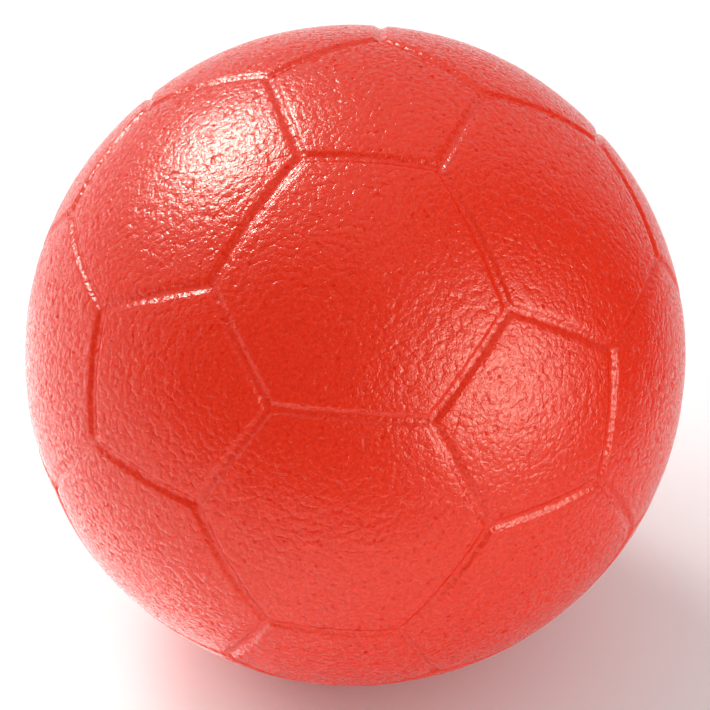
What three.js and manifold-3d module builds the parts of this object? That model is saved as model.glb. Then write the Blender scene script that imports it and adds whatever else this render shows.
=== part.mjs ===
import * as THREE from 'three';
import { mergeVertices } from 'three/addons/utils/BufferGeometryUtils.js';
import Module from 'manifold-3d';

// Soft soccer ball: a moulded foam core inside one continuous flexible skin.
// A net of shallow moulded channels marks out twelve five-sided and twenty six-sided panels.
// Millimetres, origin at the middle of the ball, +Z up through the middle of a five-sided panel.
// The YZ plane mirrors the pattern, and the six-sided panel between -Y and +Z is the front.

const BALL_DIAMETER = 200;
const SKIN_THICKNESS = 1;
const BOND_GAP = 0.3;
// Over the surface, from the middle of a five-sided panel to its corners
const PENTAGON_REACH = 33.1;
const CHANNEL_DEPTH = 0.85;
const CHANNEL_FLOOR_WIDTH = 0.8;
const CHANNEL_WALL_RUN = 2;
const NEEDLE_HOLE_DIAMETER = 2;

// How far the drill for the needle hole starts and ends clear of the skin
const DRILL_OVERRUN = 1;

// How finely the surfaces are divided
const STEPS_PER_EDGE = 3;
const ROWS_PER_PANEL = 3;
const NEEDLE_HOLE_SIDES = 24;

const SKIN_LOOK = { color: 0xe5382b, roughness: 0.45, metalness: 0 };
const FOAM_LOOK = { color: 0xe8dfc4, roughness: 0.95, metalness: 0 };

const ballRadius = BALL_DIAMETER / 2;
const goldenRatio = (1 + Math.sqrt(5)) / 2;
// Turns a corner of the icosahedron up to +Z
const uprightTilt = -Math.atan2(1, goldenRatio);
// Between the middles of a five-sided panel and the six-sided panel beside it
const panelSpacing = Math.acos(Math.sqrt((5 + 2 * Math.sqrt(5)) / 15));

const wasm = await Module();
wasm.setup();

/** The corner of the five-sided panel round `from` that points to the panel round `towards`. */
function panelCorner(from, towards) {
  const axis = new THREE.Vector3().crossVectors(from, towards).normalize();
  return from.clone().applyAxisAngle(axis, PENTAGON_REACH / ballRadius);
}

/** How far the middle of a panel lies from one of its edges, over the surface. */
function edgeReach(middle, start, end) {
  return middle.angleTo(start.clone().add(end)) * ballRadius;
}

/**
 * The panels, cut into sectors that run from the middle of a panel to one of its edges.
 * A face of the icosahedron holds one six-sided panel and a sector of each of three five-sided ones.
 */
function panelSectors() {
  const seed = new THREE.IcosahedronGeometry(1).rotateX(uprightTilt).getAttribute('position');
  const sectors = [];
  for (let first = 0; first < seed.count; first += 3) {
    const fives = [0, 1, 2].map((step) => new THREE.Vector3().fromBufferAttribute(seed, first + step));
    const ring = fives.flatMap((five, index) => {
      const before = panelCorner(five, fives[(index + 2) % 3]);
      const after = panelCorner(five, fives[(index + 1) % 3]);
      sectors.push({ middle: five, start: after, end: before, reach: edgeReach(five, after, before) });
      return [before, after];
    });
    const six = fives[0].clone().add(fives[1]).add(fives[2]).normalize();
    const reach = edgeReach(six, ring[1], ring[2]);
    ring.forEach((start, index) => {
      const end = ring[(index + 1) % ring.length];
      sectors.push({ middle: six, start, end, reach });
    });
  }
  return sectors;
}

/**
 * The rows of a sector, from the bottom of the channel up to the panel and in to its middle.
 * Each is its share of the way from the edge to the middle, and its distance from the ball's middle.
 */
function sectorRows(reach, panelRadius) {
  const floorRadius = panelRadius - CHANNEL_DEPTH;
  const foot = CHANNEL_FLOOR_WIDTH / 2 / reach;
  const shoulder = foot + CHANNEL_WALL_RUN / reach;
  const rows = [[0, floorRadius], [foot, floorRadius]];
  for (let row = 0; row < ROWS_PER_PANEL; row += 1) {
    rows.push([THREE.MathUtils.lerp(shoulder, 1, row / ROWS_PER_PANEL), panelRadius]);
  }
  return rows;
}

/** A closed ball with the channels in its surface, set in from the outside of the real ball. */
function channelledBall(inset) {
  const panelRadius = ballRadius - inset;
  const corners = [];
  const addTriangle = (...points) => points.forEach((point) => corners.push(...point));
  for (const { middle, start, end, reach } of panelSectors()) {
    const rows = sectorRows(reach, panelRadius).map(([share, radius]) => {
      const points = [];
      for (let step = 0; step <= STEPS_PER_EDGE; step += 1) {
        const onEdge = new THREE.Vector3().lerpVectors(start, end, step / STEPS_PER_EDGE).normalize();
        points.push(onEdge.lerp(middle, share).setLength(radius));
      }
      return points;
    });
    const crown = middle.clone().setLength(panelRadius);
    const innermost = rows[rows.length - 1];
    for (let step = 0; step < STEPS_PER_EDGE; step += 1) {
      for (let row = 0; row + 1 < rows.length; row += 1) {
        addTriangle(rows[row][step], rows[row][step + 1], rows[row + 1][step + 1]);
        addTriangle(rows[row][step], rows[row + 1][step + 1], rows[row + 1][step]);
      }
      addTriangle(innermost[step], innermost[step + 1], crown);
    }
  }
  const geometry = new THREE.BufferGeometry();
  geometry.setAttribute('position', new THREE.Float32BufferAttribute(corners, 3));
  return mergeVertices(geometry);
}

/** The drill for the needle hole, at the middle of the six-sided panel opposite the front one. */
function needleDrill() {
  const radius = NEEDLE_HOLE_DIAMETER / 2;
  const length = SKIN_THICKNESS + 2 * DRILL_OVERRUN;
  const outwards = new THREE.Vector3(0, Math.sin(panelSpacing), -Math.cos(panelSpacing));
  const turn = new THREE.Quaternion().setFromUnitVectors(new THREE.Vector3(0, 1, 0), outwards);
  const place = outwards.setLength(ballRadius - SKIN_THICKNESS / 2);
  const drill = new THREE.CylinderGeometry(radius, radius, length, NEEDLE_HOLE_SIDES);
  drill.deleteAttribute('normal');
  drill.deleteAttribute('uv');
  drill.applyQuaternion(turn).translate(...place);
  return mergeVertices(drill);
}

function toSolid(geometry) {
  const vertProperties = new Float32Array(geometry.getAttribute('position').array);
  const triVerts = new Uint32Array(geometry.getIndex().array);
  return new wasm.Manifold(new wasm.Mesh({ numProp: 3, vertProperties, triVerts }));
}

function toGeometry(solid) {
  const { vertProperties, triVerts } = solid.getMesh();
  const geometry = new THREE.BufferGeometry();
  geometry.setAttribute('position', new THREE.BufferAttribute(vertProperties, 3));
  geometry.setIndex(new THREE.BufferAttribute(triVerts, 1));
  return geometry;
}

function makePiece(name, geometry, look) {
  geometry.computeVertexNormals();
  const piece = new THREE.Mesh(geometry, new THREE.MeshStandardMaterial(look));
  piece.name = name;
  return piece;
}

const skinShell = toSolid(channelledBall(0))
  .subtract(toSolid(channelledBall(SKIN_THICKNESS)))
  .subtract(toSolid(needleDrill()));
const foamBall = channelledBall(SKIN_THICKNESS + BOND_GAP);

const ball = new THREE.Group();
ball.add(makePiece('skin', toGeometry(skinShell), SKIN_LOOK));
ball.add(makePiece('foam_core', foamBall, FOAM_LOOK));

export default ball;
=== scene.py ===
import math

import bmesh
import bpy
from mathutils import Matrix, Vector


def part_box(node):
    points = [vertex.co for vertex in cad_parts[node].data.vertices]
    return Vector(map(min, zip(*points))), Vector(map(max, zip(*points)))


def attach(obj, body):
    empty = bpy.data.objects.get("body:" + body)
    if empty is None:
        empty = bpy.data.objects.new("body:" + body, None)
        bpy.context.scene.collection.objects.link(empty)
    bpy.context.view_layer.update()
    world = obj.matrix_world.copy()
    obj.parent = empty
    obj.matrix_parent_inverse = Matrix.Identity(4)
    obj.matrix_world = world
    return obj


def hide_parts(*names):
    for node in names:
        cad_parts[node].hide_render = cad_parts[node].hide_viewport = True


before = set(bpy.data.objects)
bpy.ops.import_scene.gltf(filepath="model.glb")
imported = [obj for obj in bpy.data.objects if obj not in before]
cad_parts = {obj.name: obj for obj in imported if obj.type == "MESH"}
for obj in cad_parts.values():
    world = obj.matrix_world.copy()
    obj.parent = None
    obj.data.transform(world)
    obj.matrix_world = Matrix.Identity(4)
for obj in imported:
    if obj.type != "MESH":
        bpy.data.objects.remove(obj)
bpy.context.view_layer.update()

# A soft soccer ball: one flexible grained skin over a moulded foam core, with a net of shallow channels.
# Everything is in metres, in the frame of the loaded model: +Z runs up through a five-sided panel.

MM = 0.001

# Sizes of the ball
LOW_SKIN, HIGH_SKIN = (Vector(corner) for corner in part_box("skin"))
BALL_RADIUS = (HIGH_SKIN.z - LOW_SKIN.z) / 2
SKIN_THICKNESS = 1.0 * MM
BOND_GAP = 0.3 * MM
# Over the surface, from the middle of a five-sided panel to its corners
PENTAGON_REACH = 33.1 * MM
CHANNEL_DEPTH = 0.85 * MM
CHANNEL_FLOOR_WIDTH = 0.8 * MM
CHANNEL_WALL_RUN = 2.0 * MM
NEEDLE_HOLE_RADIUS = 1.0 * MM

# Between neighbouring panel middles: five-sided to five-sided, and five-sided to six-sided
FIVE_TO_FIVE = math.atan(2)
FIVE_TO_SIX = math.acos(math.sqrt((5 + 2 * math.sqrt(5)) / 15))
# Turns the icosahedron about Z so that the YZ plane mirrors it, with a six-sided panel towards -Y
PATTERN_TURN = math.radians(18)
# The seed lies just inside the ball, so that the cast to a sphere only moves its points outwards
SEED_SHARE = 0.98

# Rows of faces up a channel wall, and the flat row beside it on the panel
WALL_ROWS = 6
SHOULDER_ROW = 1.2 * MM
# Edges longer than this run along a channel or in to the middle of a panel, and are cut into steps
LONG_EDGE = 4 * SHOULDER_ROW
SKIN_STEPS = 24
LINING_STEPS = 4
CORE_STEPS = 8
# How often the depth of the channels is evened out between neighbouring points, and how strongly
SKIN_ROUNDING = 2
HIDDEN_ROUNDING = 1
ROUNDING_STRENGTH = 0.5

# Soft unevenness of the skin: the length of its patches, and their height from lowest to highest
SWELL_LENGTH, SWELL_HEIGHT = 45 * MM, 0.5 * MM
WAVE_LENGTH, WAVE_HEIGHT = 5 * MM, 0.16 * MM

NEEDLE_SIDES = 24
NEEDLE_LENGTH = 4 * SKIN_THICKNESS
# Edges sharper than this stay sharp in the shading
SHARP_ANGLE = math.radians(50)


def deselect_all():
    if bpy.context.mode != "OBJECT":
        bpy.ops.object.mode_set(mode="OBJECT")
    bpy.ops.object.select_all(action="DESELECT")


def make_active(piece):
    deselect_all()
    piece.select_set(True)
    bpy.context.view_layer.objects.active = piece


def apply_modifier(piece, kind, **settings):
    make_active(piece)
    modifier = piece.modifiers.new(kind.lower(), kind)
    for key, value in settings.items():
        setattr(modifier, key, value)
    bpy.ops.object.modifier_apply(modifier=modifier.name)


def smooth_shading(piece):
    make_active(piece)
    bpy.ops.object.shade_smooth_by_angle(angle=SHARP_ANGLE)


def inset_faces(thickness):
    bpy.ops.mesh.inset(thickness=thickness, use_individual=True, use_even_offset=True)


def weigh_selected(weight):
    """Give the selected points this weight in the active vertex group."""
    bpy.context.tool_settings.vertex_group_weight = weight
    bpy.ops.object.vertex_group_assign()


def wall_weight(climbed):
    """How deep the channel still is, from 1 at the foot of its wall to 0 at the shoulder."""
    return 1 - climbed * climbed * (3 - 2 * climbed)


def select_long_edges(piece):
    bpy.ops.mesh.select_mode(type="EDGE")
    bpy.ops.mesh.select_all(action="DESELECT")
    mesh = bmesh.from_edit_mesh(piece.data)
    for edge in mesh.edges:
        edge.select_set(edge.calc_length() > LONG_EDGE)
    bmesh.update_edit_mesh(piece.data)


def channelled_ball(name, inset, steps, rounding):
    """A ball with the moulded channels, set in from the outside of the real one.

    It starts as an icosahedron with its corners cut off. Its faces are inset for the channels,
    cut finer and cast to a sphere, and the channels are then sunk by their weight.
    """
    radius = BALL_RADIUS - inset
    # The share of an edge to cut off at each end, and how far out the icosahedron's corners lie,
    # so that the corners of the five-sided panels come out on the sphere at their reach
    corner_angle = PENTAGON_REACH / BALL_RADIUS
    along = math.tan(corner_angle)
    cut = along / (math.sin(FIVE_TO_FIVE) + along * (1 - math.cos(FIVE_TO_FIVE)))
    corner_share = math.cos(corner_angle) / (1 - cut * (1 - math.cos(FIVE_TO_FIVE)))
    deselect_all()
    bpy.ops.mesh.primitive_ico_sphere_add(
        subdivisions=1, radius=SEED_SHARE * radius * corner_share, rotation=(0, 0, PATTERN_TURN)
    )
    piece = bpy.context.object
    piece.name = name
    bpy.ops.object.transform_apply(location=True, rotation=True, scale=True)
    piece.vertex_groups.new(name="channel")

    bpy.ops.object.mode_set(mode="EDIT")
    bpy.ops.mesh.select_all(action="SELECT")
    bpy.ops.mesh.bevel(affect="VERTICES", offset_type="PERCENT", offset_pct=100 * cut)
    bpy.ops.mesh.select_mode(type="FACE")
    bpy.ops.mesh.select_all(action="SELECT")
    weigh_selected(1)
    inset_faces(CHANNEL_FLOOR_WIDTH / 2)
    weigh_selected(1)
    for row in range(1, WALL_ROWS + 1):
        inset_faces(CHANNEL_WALL_RUN / WALL_ROWS)
        weigh_selected(wall_weight(row / WALL_ROWS))
    inset_faces(SHOULDER_ROW)
    bpy.ops.mesh.poke()
    select_long_edges(piece)
    bpy.ops.mesh.subdivide(number_cuts=steps - 1, smoothness=0)
    bpy.ops.mesh.select_all(action="SELECT")
    bpy.ops.object.vertex_group_smooth(
        group_select_mode="ACTIVE", factor=ROUNDING_STRENGTH, repeat=rounding
    )

    bpy.ops.object.mode_set(mode="OBJECT")
    apply_modifier(
        piece, "CAST", cast_type="SPHERE", factor=1, radius=radius, use_radius_as_size=True
    )
    apply_modifier(
        piece, "DISPLACE", strength=-CHANNEL_DEPTH, mid_level=0, vertex_group="channel"
    )
    return piece


def wave_surface(piece, name, length, height):
    """Raise and sink the surface a little in soft patches of this length."""
    waves = bpy.data.textures.new(name, "CLOUDS")
    waves.noise_scale = length
    waves.noise_depth = 1
    apply_modifier(
        piece, "DISPLACE", texture=waves, texture_coords="LOCAL", strength=height, mid_level=0.5
    )


def line_skin(skin):
    """Give the skin its thickness with an inner wall that faces the foam."""
    inner = channelled_ball("skin_inner_wall", SKIN_THICKNESS, LINING_STEPS, HIDDEN_ROUNDING)
    bpy.ops.object.mode_set(mode="EDIT")
    bpy.ops.mesh.select_all(action="SELECT")
    bpy.ops.mesh.flip_normals()
    bpy.ops.object.mode_set(mode="OBJECT")
    make_active(skin)
    inner.select_set(True)
    bpy.ops.object.join()


def pierce_needle_hole(skin):
    """Make the needle hole through the skin, in the six-sided panel opposite the front one."""
    outwards = Vector((0, math.sin(FIVE_TO_SIX), -math.cos(FIVE_TO_SIX)))
    deselect_all()
    bpy.ops.mesh.primitive_cylinder_add(
        vertices=NEEDLE_SIDES,
        radius=NEEDLE_HOLE_RADIUS,
        depth=NEEDLE_LENGTH,
        location=outwards * (BALL_RADIUS - SKIN_THICKNESS / 2),
        rotation=outwards.to_track_quat("Z", "Y").to_euler(),
    )
    needle = bpy.context.object
    apply_modifier(skin, "BOOLEAN", operation="DIFFERENCE", solver="MANIFOLD", object=needle)
    bpy.data.objects.remove(needle)


skin = channelled_ball("skin_coat", 0, SKIN_STEPS, SKIN_ROUNDING)
wave_surface(skin, "skin_swell", SWELL_LENGTH, SWELL_HEIGHT)
wave_surface(skin, "skin_waves", WAVE_LENGTH, WAVE_HEIGHT)
line_skin(skin)
pierce_needle_hole(skin)
smooth_shading(skin)

core = channelled_ball("foam_ball", SKIN_THICKNESS + BOND_GAP, CORE_STEPS, HIDDEN_ROUNDING)
smooth_shading(core)

# The colour sockets of a Mix node, which share their names with its other sockets
MIX_FIRST, MIX_SECOND, MIX_RESULT = 6, 7, 2


def add_node(tree, kind, inputs=None, **settings):
    """Add a shader node, with its sockets set to values or linked to other nodes' outputs."""
    node = tree.nodes.new("ShaderNode" + kind)
    for key, value in settings.items():
        setattr(node, key, value)
    for key, value in (inputs or {}).items():
        if isinstance(value, bpy.types.NodeSocket):
            tree.links.new(value, node.inputs[key])
        else:
            node.inputs[key].default_value = value
    return node


def add_share(tree, value, share, base, **settings):
    """The base with this share of a value added to it."""
    inputs = {0: value, 1: share, 2: base}
    return add_node(tree, "Math", inputs, operation="MULTIPLY_ADD", **settings).outputs[0]


def map_range(tree, value, old, new, **settings):
    """The value, moved from the old range to the new one."""
    inputs = {"Value": value}
    inputs["From Min"], inputs["From Max"] = old
    inputs["To Min"], inputs["To Max"] = new
    return add_node(tree, "MapRange", inputs, **settings).outputs[0]


def mix_colours(tree, share, first, second):
    """A colour between the first and the second, by its share of the second."""
    inputs = {"Factor": share, MIX_FIRST: first, MIX_SECOND: second}
    return add_node(tree, "Mix", inputs, data_type="RGBA").outputs[MIX_RESULT]


def new_material(name):
    """A material with a Principled shader, and the Object coordinates that its patterns lie in."""
    material = bpy.data.materials.new(name)
    material.use_nodes = True
    tree = material.node_tree
    place = add_node(tree, "TexCoord").outputs["Object"]
    return material, tree, tree.nodes["Principled BSDF"], place


# Grain of the skin. A scale is about how many of its features there are to a metre.
DRIFT_SCALE, DRIFT_DETAIL = 500, 2
DRIFT_REACH = 1.8 * MM
PEBBLE_SCALE = 560
PEBBLE_SMOOTHNESS = 0.3
PEBBLE_POWER = 3
PEBBLE_TOP, PEBBLE_FALL = 0.5, -0.6
LUMP_SCALE, LUMP_DETAIL, LUMP_ROUGHNESS = 450, 3, 0.62
LUMP_SHARE = 0.72
SPECK_SCALE, SPECK_DETAIL = 2000, 1
SPECK_SHARE = 0.22
PIN_HOLE_SCALE = 270
PIN_HOLE_EDGE = (0.08, 0.2)
PIN_HOLE_DEPTH = -0.15
GRAIN_HEIGHT = 0.45 * MM

# Colour of the skin: a random mottle, with painted shade darkening the pin holes
MOTTLE_SCALE, MOTTLE_DETAIL, MOTTLE_ROUGHNESS = 1000, 2, 0.7
MOTTLE_RANGE = (0.25, 0.75)
# How much darker the colour is in the pin holes: painted shade in these small hollows
PIN_HOLE_PAINTED_SHADE = -0.25
DEEP_RED = (0.72, 0.014, 0.002, 1)
BRIGHT_RED = (0.92, 0.034, 0.006, 1)

# Gloss of the skin. The pits between the pebbles shine less, and least where they are seen at a slant.
PIT_SCALE, PIT_DETAIL = 900, 2
PIT_RANGE = (0.42, 0.58)
SLANT_BLEND = 0.5
SLANT_RANGE = (0.3, 0.62)
PIT_SHINE = (0.48, 0.06)
PEBBLE_SHINE = 0.66
PIN_HOLE_DULLNESS = -0.4
PIT_ROUGHNESS, PEBBLE_ROUGHNESS = 0.25, 0.2
SHINE_TINT = (1, 0.97, 0.82, 1)


def skin_red():
    """Flexible red coat with a pebbled grain and a few pin holes, whose colour is darkened with painted
    shade.
    """
    material, tree, shader, place = new_material("skin_red")
    drift = add_node(
        tree, "TexNoise", {"Vector": place, "Scale": DRIFT_SCALE, "Detail": DRIFT_DETAIL}
    )
    drifted = add_node(
        tree,
        "VectorMath",
        {0: drift.outputs["Color"], 1: (DRIFT_REACH,) * 3, 2: place},
        operation="MULTIPLY_ADD",
    ).outputs[0]
    pebbles = add_node(
        tree,
        "TexVoronoi",
        {"Vector": drifted, "Scale": PEBBLE_SCALE, "Smoothness": PEBBLE_SMOOTHNESS},
        feature="SMOOTH_F1",
    )
    lumps = add_node(
        tree,
        "TexNoise",
        {"Vector": place, "Scale": LUMP_SCALE, "Detail": LUMP_DETAIL, "Roughness": LUMP_ROUGHNESS},
    )
    specks = add_node(
        tree, "TexNoise", {"Vector": place, "Scale": SPECK_SCALE, "Detail": SPECK_DETAIL}
    )
    pin_holes = add_node(tree, "TexVoronoi", {"Vector": drifted, "Scale": PIN_HOLE_SCALE})
    pin_hole = map_range(
        tree,
        pin_holes.outputs["Distance"],
        PIN_HOLE_EDGE,
        (1, 0),
        interpolation_type="SMOOTHSTEP",
    )
    falling = add_node(
        tree, "Math", {0: pebbles.outputs["Distance"], 1: PEBBLE_POWER}, operation="POWER"
    )
    domes = add_share(tree, falling.outputs[0], PEBBLE_FALL, PEBBLE_TOP)
    grain = add_share(tree, lumps.outputs[0], LUMP_SHARE, domes)
    coat = add_share(tree, specks.outputs[0], SPECK_SHARE, grain)
    height = add_share(tree, pin_hole, PIN_HOLE_DEPTH, coat)
    bump = add_node(tree, "Bump", {"Height": height, "Distance": GRAIN_HEIGHT})
    tree.links.new(bump.outputs["Normal"], shader.inputs["Normal"])

    mottle = add_node(
        tree,
        "TexNoise",
        {
            "Vector": place,
            "Scale": MOTTLE_SCALE,
            "Detail": MOTTLE_DETAIL,
            "Roughness": MOTTLE_ROUGHNESS,
        },
    )
    # The random mottle, darkened in the pin holes with painted shade
    mottle_and_painted_shade = add_share(tree, pin_hole, PIN_HOLE_PAINTED_SHADE, mottle.outputs[0])
    brightness = map_range(tree, mottle_and_painted_shade, MOTTLE_RANGE, (0, 1))
    colour = mix_colours(tree, brightness, DEEP_RED, BRIGHT_RED)
    tree.links.new(colour, shader.inputs["Base Color"])

    slant = add_node(tree, "LayerWeight", {"Blend": SLANT_BLEND})
    pit_shine = map_range(tree, slant.outputs["Facing"], SLANT_RANGE, PIT_SHINE)
    pits = add_node(tree, "TexNoise", {"Vector": place, "Scale": PIT_SCALE, "Detail": PIT_DETAIL})
    shine = map_range(
        tree,
        pits.outputs[0],
        PIT_RANGE,
        (pit_shine, PEBBLE_SHINE),
        interpolation_type="SMOOTHSTEP",
    )
    dulled = add_share(tree, pin_hole, PIN_HOLE_DULLNESS, shine, use_clamp=True)
    tree.links.new(dulled, shader.inputs["Specular IOR Level"])
    matt = map_range(tree, pits.outputs[0], PIT_RANGE, (PIT_ROUGHNESS, PEBBLE_ROUGHNESS))
    tree.links.new(matt, shader.inputs["Roughness"])
    shader.inputs["Specular Tint"].default_value = SHINE_TINT
    return material


# Foam of the core
CELL_SCALE = 1100
CELL_HEIGHT = 0.3 * MM
# The colour deep in each cell's hollow is painted shade; the light one is the foam's own cream
FOAM_PAINTED_SHADE = (0.62, 0.55, 0.38, 1)
FOAM_LIGHT = (0.84, 0.79, 0.62, 1)
FOAM_ROUGHNESS = 0.95


def foam_cream():
    """Open-cell foam, dull and cream, with painted shade in the hollows of its cells."""
    material, tree, shader, place = new_material("foam_cream")
    cells = add_node(tree, "TexVoronoi", {"Vector": place, "Scale": CELL_SCALE})
    bump = add_node(tree, "Bump", {"Height": cells.outputs["Distance"], "Distance": CELL_HEIGHT})
    tree.links.new(bump.outputs["Normal"], shader.inputs["Normal"])
    # The colour darkens down into each cell's hollow, following the bump: painted shade
    colour = mix_colours(tree, cells.outputs["Distance"], FOAM_PAINTED_SHADE, FOAM_LIGHT)
    tree.links.new(colour, shader.inputs["Base Color"])
    shader.inputs["Roughness"].default_value = FOAM_ROUGHNESS
    return material


skin.data.materials.clear()
skin.data.materials.append(skin_red())
core.data.materials.append(foam_cream())

for piece, node, slot in ((skin, "skin", "skin_coat"), (core, "foam_core", "core_foam")):
    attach(piece, "root")
    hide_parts(node)

# Camera, at the photograph's height and tilt
CAMERA_DISTANCE = 9.345 * BALL_RADIUS
CAMERA_ELEVATION = math.radians(41.37)
CAMERA_ROLL = math.radians(4.44)
SENSOR_WIDTH = 36
LENS_LENGTH = 155.8
back = Vector((0, -math.cos(CAMERA_ELEVATION), math.sin(CAMERA_ELEVATION)))
tilt = Matrix.Rotation(math.pi / 2 - CAMERA_ELEVATION, 4, "X")
roll = Matrix.Rotation(CAMERA_ROLL, 4, "Z")
bpy.ops.object.camera_add()
camera = bpy.context.object
camera.matrix_world = Matrix.Translation(back * CAMERA_DISTANCE) @ (tilt @ roll)
camera.data.sensor_width = SENSOR_WIDTH
camera.data.lens = LENS_LENGTH
bpy.context.scene.camera = camera
bpy.context.scene.view_settings.view_transform = "Standard"


def plain_material(name, colour):
    """A material with no gloss at all."""
    material = bpy.data.materials.new(name)
    material.use_nodes = True
    shader = material.node_tree.nodes["Principled BSDF"]
    shader.inputs["Base Color"].default_value = colour
    shader.inputs["Roughness"].default_value = 1
    shader.inputs["Specular IOR Level"].default_value = 0
    return material


# A white table top, with the ball near its front right corner
TABLE_LEFT, TABLE_RIGHT = -2.6, 0.32
TABLE_FRONT, TABLE_BACK = -0.6, 3.0
TABLE_WHITE = (0.95, 0.95, 0.95, 1)
deselect_all()
bpy.ops.mesh.primitive_plane_add(
    size=1,
    location=((TABLE_LEFT + TABLE_RIGHT) / 2, (TABLE_FRONT + TABLE_BACK) / 2, LOW_SKIN.z),
)
floor = bpy.context.object
floor.name = "table_top"
floor.scale = (TABLE_RIGHT - TABLE_LEFT, TABLE_BACK - TABLE_FRONT, 1)
bpy.ops.object.transform_apply(location=True, rotation=True, scale=True)
floor.data.materials.append(plain_material("table_white", TABLE_WHITE))

# A dark half tent on the camera's side and to the right, which darkens what the front of the ball reflects
TENT_RADIUS = 1.6
TENT_SEGMENTS, TENT_RINGS = 72, 36
TENT_MIDDLE = math.radians(-58)
TENT_HALF_WIDTH = math.radians(100)
TENT_TOP = math.radians(72)
TENT_BOTTOM = math.radians(-60)
TENT_DARK = (0.02, 0.02, 0.02, 1)
deselect_all()
bpy.ops.mesh.primitive_uv_sphere_add(
    segments=TENT_SEGMENTS, ring_count=TENT_RINGS, radius=TENT_RADIUS
)
tent = bpy.context.object
tent.name = "dark_tent"
bpy.ops.object.mode_set(mode="EDIT")
bpy.ops.mesh.select_mode(type="FACE")
bpy.ops.mesh.select_all(action="DESELECT")
mesh = bmesh.from_edit_mesh(tent.data)
for face in mesh.faces:
    middle = face.calc_center_median().normalized()
    height = math.asin(middle.z)
    swing = math.remainder(math.atan2(middle.y, middle.x) - TENT_MIDDLE, 2 * math.pi)
    covered = abs(swing) < TENT_HALF_WIDTH and TENT_BOTTOM < height < TENT_TOP
    face.select_set(not covered)
bmesh.update_edit_mesh(tent.data)
bpy.ops.mesh.delete(type="FACE")
bpy.ops.object.mode_set(mode="OBJECT")
tent.data.materials.append(plain_material("tent_dark", TENT_DARK))
tent.visible_camera = False
tent.visible_diffuse = False

# White studio walls all round
STUDIO_WHITE = (1, 1, 1, 1)
STUDIO_BRIGHTNESS = 0.69
world = bpy.data.worlds.new("studio")
bpy.context.scene.world = world
world.use_nodes = True
walls = world.node_tree.nodes["Background"]
walls.inputs["Color"].default_value = STUDIO_WHITE
walls.inputs["Strength"].default_value = STUDIO_BRIGHTNESS


def face_power(brightness, length, width):
    """The power of a round or oval lamp whose face has this brightness."""
    return brightness * math.pi * math.pi * length * width / 4


def round_lamp(name, towards, half_angle, brightness, distance):
    """A round lamp seen from the ball under this half angle, with the brightness of its face."""
    direction = Vector(towards).normalized()
    width = 2 * distance * math.tan(half_angle)
    bpy.ops.object.light_add(type="AREA", location=direction * distance)
    lamp = bpy.context.object
    lamp.name = name
    lamp.data.shape = "DISK"
    lamp.data.size = width
    lamp.data.energy = face_power(brightness, width, width)
    lamp.rotation_euler = direction.to_track_quat("Z", "Y").to_euler()
    lamp.visible_camera = False
    return lamp


def light_only(lamp, lit):
    """Let the lamp light these objects alone."""
    lamp.light_linking.receiver_collection = bpy.data.collections.new("lit_by_" + lamp.name)
    for piece in lit:
        lamp.light_linking.receiver_collection.objects.link(piece)


# How far off each part of a softbox stands, and half the angle of the light that it spreads
MIDDLE_DISTANCE = 1.1
RIM_DISTANCE = 1.15
SPREAD_DISTANCE = 1.2
SPREAD_ANGLE = math.radians(30)


def softbox(name, towards, middle, rim, wash):
    """A softbox: its bright middle and paler rim in the gloss, and the soft light that it spreads."""
    for part, (half_angle, brightness), distance in (
        ("_middle", middle, MIDDLE_DISTANCE),
        ("_rim", rim, RIM_DISTANCE),
    ):
        face = round_lamp(name + part, towards, half_angle, brightness, distance)
        face.visible_diffuse = False
    spread = round_lamp(name + "_spread", towards, SPREAD_ANGLE, wash, SPREAD_DISTANCE)
    spread.visible_glossy = False
    light_only(spread, [skin, core])


# The softboxes: the side that each stands on, then half the angle and the brightness of each part
KEY_SIDE = (-0.60, 0.51, 0.62)
KEY_MIDDLE = (math.radians(11), 30)
KEY_RIM = (math.radians(20), 1.8)
KEY_WASH = 1.35
softbox("key", KEY_SIDE, KEY_MIDDLE, KEY_RIM, KEY_WASH)

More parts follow.
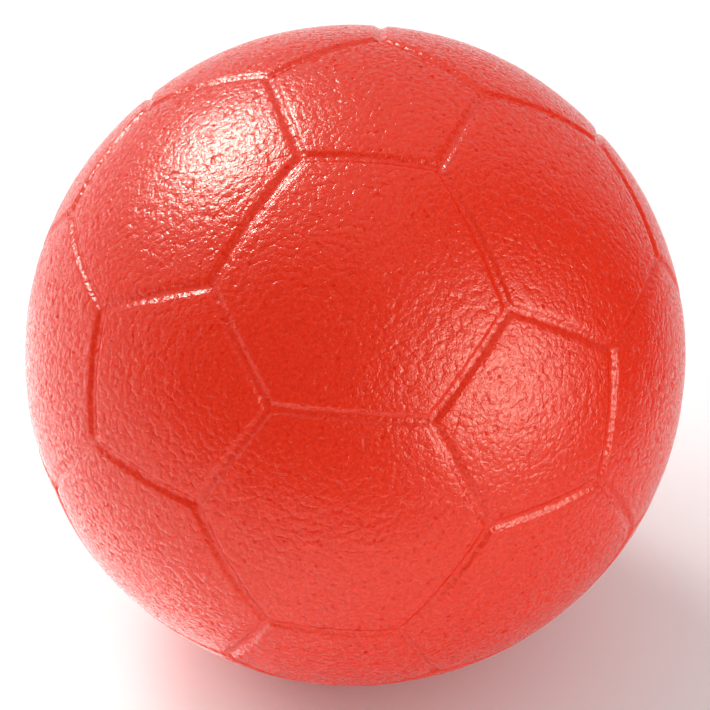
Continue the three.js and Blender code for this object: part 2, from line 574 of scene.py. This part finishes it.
FILL_SIDE = (0.76, -0.54, 0.37)
FILL_MIDDLE = (math.radians(13), 6.2)
FILL_RIM = (math.radians(30), 1.8)
FILL_WASH = 1.05
softbox("fill", FILL_SIDE, FILL_MIDDLE, FILL_RIM, FILL_WASH)

# The key's light on the table, which keeps the table white and leaves the ball's shadow on it
TABLE_LAMP_SIDE = (-0.70, 0.36, 0.62)
TABLE_LAMP_ANGLE = math.radians(26)
TABLE_LAMP_BRIGHTNESS = 3.7
TABLE_LAMP_DISTANCE = 1.3
table_lamp = round_lamp(
    "table_lamp", TABLE_LAMP_SIDE, TABLE_LAMP_ANGLE, TABLE_LAMP_BRIGHTNESS, TABLE_LAMP_DISTANCE
)
table_lamp.visible_glossy = False
light_only(table_lamp, [floor])

# A spot that keeps the table white to the left of the ball
POOL_MIDDLE = Vector((-0.13, -0.05, LOW_SKIN.z))
SPOT_POWER = 50
SPOT_ANGLE = math.radians(20)
SPOT_BLEND = 0.5
SPOT_RADIUS = 0.3
bpy.ops.object.light_add(type="SPOT", location=Vector(KEY_SIDE))
table_spot = bpy.context.object
table_spot.name = "table_spot"
table_spot.data.energy = SPOT_POWER
table_spot.data.spot_size = SPOT_ANGLE
table_spot.data.spot_blend = SPOT_BLEND
table_spot.data.shadow_soft_size = SPOT_RADIUS
table_spot.rotation_euler = (table_spot.location - POOL_MIDDLE).to_track_quat("Z", "Y").to_euler()
table_spot.visible_camera = False
table_spot.visible_glossy = False
light_only(table_spot, [floor])

# A white card on the table to the left of the ball, which shows as a pale sheen along the ball's edge
CARD_LIFT = 0.5 * MM
CARD_MIDDLE = Vector((-0.16, 0.02, LOW_SKIN.z + CARD_LIFT))
CARD_LENGTH, CARD_WIDTH = 0.30, 0.17
CARD_TURN = math.radians(136)
CARD_BRIGHTNESS = 0.92
bpy.ops.object.light_add(type="AREA", location=CARD_MIDDLE, rotation=(math.pi, 0, CARD_TURN))
card = bpy.context.object
card.name = "table_card"
card.data.shape = "ELLIPSE"
card.data.size = CARD_LENGTH
card.data.size_y = CARD_WIDTH
card.data.energy = face_power(CARD_BRIGHTNESS, CARD_LENGTH, CARD_WIDTH)
card.visible_camera = False
card.visible_diffuse = False
